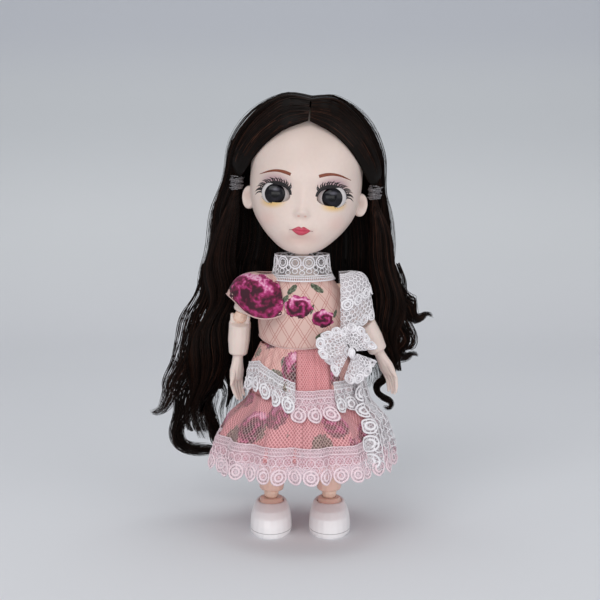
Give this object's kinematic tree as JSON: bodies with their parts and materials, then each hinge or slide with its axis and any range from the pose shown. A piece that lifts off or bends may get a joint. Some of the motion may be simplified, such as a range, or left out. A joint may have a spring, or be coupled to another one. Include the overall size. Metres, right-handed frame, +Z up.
{
  "type": "ball jointed doll",
  "caption": "Small ball jointed doll with inset eyes, long wavy hair held by elastics, a rose printed dress with lace trim, slip-on shoes, and a neck, arms and legs that move.",
  "frame": {"origin": "on the floor under the middle of the doll, hair and dress included", "axes": "+Z up, the doll faces -Y, its own right side is at -X"},
  "size_m": [0.0986, 0.0652, 0.1627],
  "materials": {
    "face_skin": "satin, semi-matt vinyl with painted features",
    "limb_skin": "satin",
    "eye": "clear gloss",
    "hair": "silky synthetic fibre",
    "hair_elastic": "glossy",
    "shoe_vinyl": "satin",
    "printed_satin": "soft sheen, printed with roses on a diamond lattice",
    "pink_tulle": "sheer net",
    "white_lace": "matt thread"
  },
  "bodies": {
    "torso": {"bodice": "printed_satin", "collar_lace": "white_lace", "flounce_sleeve": "printed_satin", "hem_lace": "white_lace", "lace_bow": "white_lace", "lace_cascade": "white_lace", "lace_sleeve": "white_lace", "middle_trim": "white_lace", "overskirt": "printed_satin", "skirt_lining": "pink_tulle", "torso_back": "limb_skin", "torso_front": "limb_skin"},
    "neck": {"neck_post": "limb_skin"},
    "head": {"back_hair": "hair", "eye_bracket": "limb_skin", "eye_left": "eye", "eye_right": "eye", "hair_crown_left": "hair", "hair_crown_right": "hair", "hair_tie_left": "hair_elastic", "hair_tie_right": "hair_elastic", "head_back": "face_skin", "head_front": "face_skin", "neck_cup": "limb_skin", "side_hair_left": "hair", "side_hair_right": "hair", "wig_cap": "hair"},
    "shoulder_joint_right": {"shoulder_joint_right": "limb_skin"},
    "upper_arm_right": {"upper_arm_right": "limb_skin"},
    "elbow_joint_right": {"elbow_joint_right": "limb_skin"},
    "forearm_right": {"forearm_right": "limb_skin"},
    "hand_right": {"hand_right": "limb_skin"},
    "hip_joint_right": {"hip_joint_right": "limb_skin"},
    "thigh_right": {"knee_joint_right": "limb_skin", "thigh_right": "limb_skin"},
    "shin_right": {"shin_right": "limb_skin"},
    "ankle_joint_right": {"ankle_joint_right": "limb_skin"},
    "foot_right": {"foot_right": "limb_skin", "shoe_right": "shoe_vinyl"},
    "shoulder_joint_left": {"shoulder_joint_left": "limb_skin"},
    "upper_arm_left": {"upper_arm_left": "limb_skin"},
    "elbow_joint_left": {"elbow_joint_left": "limb_skin"},
    "forearm_left": {"forearm_left": "limb_skin"},
    "hand_left": {"hand_left": "limb_skin"},
    "hip_joint_left": {"hip_joint_left": "limb_skin"},
    "thigh_left": {"knee_joint_left": "limb_skin", "thigh_left": "limb_skin"},
    "shin_left": {"shin_left": "limb_skin"},
    "ankle_joint_left": {"ankle_joint_left": "limb_skin"},
    "foot_left": {"foot_left": "limb_skin", "shoe_left": "shoe_vinyl"}
  },
  "joints": [
    {"name": "neck_turn", "type": "hinge", "parent": "torso", "child": "neck", "pos_m": [0.0092, 0.0007, 0.103], "axis": [0, 0, 1], "range_deg": [-60, 60], "deforming": ["collar_lace", "back_hair"]},
    {"name": "head_nod", "type": "hinge", "parent": "neck", "child": "head", "pos_m": [0.0092, 0.0007, 0.1095], "axis": [0.997, -0.0349, -0.0697], "range_deg": [-15, 15], "deforming": ["side_hair_right", "side_hair_left"]},
    {"name": "shoulder_swing_right", "type": "hinge", "parent": "torso", "child": "shoulder_joint_right", "pos_m": [-0.0092, -0.0003, 0.0914], "axis": [-1, 0, 0], "range_deg": [-50, 110], "deforming": ["flounce_sleeve", "bodice"]},
    {"name": "arm_raise_right", "type": "hinge", "parent": "shoulder_joint_right", "child": "upper_arm_right", "pos_m": [-0.0092, -0.0003, 0.0914], "axis": [0, 1, 0], "range_deg": [-6, 45]},
    {"name": "elbow_twist_right", "type": "hinge", "parent": "upper_arm_right", "child": "elbow_joint_right", "pos_m": [-0.0137, -0.0003, 0.08027], "axis": [0.3746, 0, 0.9272], "range_deg": [-90, 90]},
    {"name": "elbow_bend_right", "type": "hinge", "parent": "elbow_joint_right", "child": "forearm_right", "pos_m": [-0.0137, -0.0003, 0.08027], "axis": [-0.9976, 0, 0.0698], "range_deg": [0, 75]},
    {"name": "wrist_twist_right", "type": "hinge", "parent": "forearm_right", "child": "hand_right", "pos_m": [-0.01471, -0.0003, 0.06571], "axis": [0.0698, 0, 0.9976], "range_deg": [-90, 90]},
    {"name": "hip_swing_right", "type": "hinge", "parent": "torso", "child": "hip_joint_right", "pos_m": [-0.0002, -0.0003, 0.05654], "axis": [-1, 0, 0], "range_deg": [-20, 90], "deforming": ["skirt_lining", "overskirt", "middle_trim", "hem_lace"]},
    {"name": "leg_spread_right", "type": "hinge", "parent": "hip_joint_right", "child": "thigh_right", "pos_m": [-0.0002, -0.0003, 0.05654], "axis": [0, 1, 0], "range_deg": [-2, 25]},
    {"name": "knee_bend_right", "type": "hinge", "parent": "thigh_right", "child": "shin_right", "pos_m": [-0.00132, -0.0003, 0.03437], "axis": [0.9987, 0, -0.0506], "range_deg": [0, 80]},
    {"name": "ankle_twist_right", "type": "hinge", "parent": "shin_right", "child": "ankle_joint_right", "pos_m": [-0.0024, -0.0003, 0.0132], "axis": [0.0506, 0, 0.9987], "range_deg": [-30, 10]},
    {"name": "ankle_tilt_right", "type": "hinge", "parent": "ankle_joint_right", "child": "foot_right", "pos_m": [-0.0024, -0.0003, 0.0132], "axis": [1, 0, 0], "range_deg": [-15, 15]},
    {"name": "shoulder_swing_left", "type": "hinge", "parent": "torso", "child": "shoulder_joint_left", "pos_m": [0.0276, -0.0003, 0.0914], "axis": [-1, 0, 0], "range_deg": [-50, 110], "deforming": ["lace_sleeve"]},
    {"name": "arm_raise_left", "type": "hinge", "parent": "shoulder_joint_left", "child": "upper_arm_left", "pos_m": [0.0276, -0.0003, 0.0914], "axis": [0, -1, 0], "range_deg": [-6, 45]},
    {"name": "elbow_twist_left", "type": "hinge", "parent": "upper_arm_left", "child": "elbow_joint_left", "pos_m": [0.03131, -0.0003, 0.07999], "axis": [-0.309, 0, 0.9511], "range_deg": [-90, 90]},
    {"name": "elbow_bend_left", "type": "hinge", "parent": "elbow_joint_left", "child": "forearm_left", "pos_m": [0.03131, -0.0003, 0.07999], "axis": [-0.891, 0, -0.454], "range_deg": [0, 75]},
    {"name": "wrist_twist_left", "type": "hinge", "parent": "forearm_left", "child": "hand_left", "pos_m": [0.03794, -0.0003, 0.06698], "axis": [-0.454, 0, 0.891], "range_deg": [-90, 90]},
    {"name": "hip_swing_left", "type": "hinge", "parent": "torso", "child": "hip_joint_left", "pos_m": [0.0186, -0.0003, 0.05659], "axis": [-1, 0, 0], "range_deg": [-20, 90], "deforming": ["lace_cascade", "lace_bow"]},
    {"name": "leg_spread_left", "type": "hinge", "parent": "hip_joint_left", "child": "thigh_left", "pos_m": [0.0186, -0.0003, 0.05659], "axis": [0, -1, 0], "range_deg": [-2, 25]},
    {"name": "knee_bend_left", "type": "hinge", "parent": "thigh_left", "child": "shin_left", "pos_m": [0.01906, -0.0003, 0.0344], "axis": [0.9998, 0, 0.0209], "range_deg": [0, 80]},
    {"name": "ankle_twist_left", "type": "hinge", "parent": "shin_left", "child": "ankle_joint_left", "pos_m": [0.01951, -0.0003, 0.0132], "axis": [0.0209, 0, -0.9998], "range_deg": [-30, 10]},
    {"name": "ankle_tilt_left", "type": "hinge", "parent": "ankle_joint_left", "child": "foot_left", "pos_m": [0.01951, -0.0003, 0.0132], "axis": [1, 0, 0], "range_deg": [-15, 15]}
  ]
}
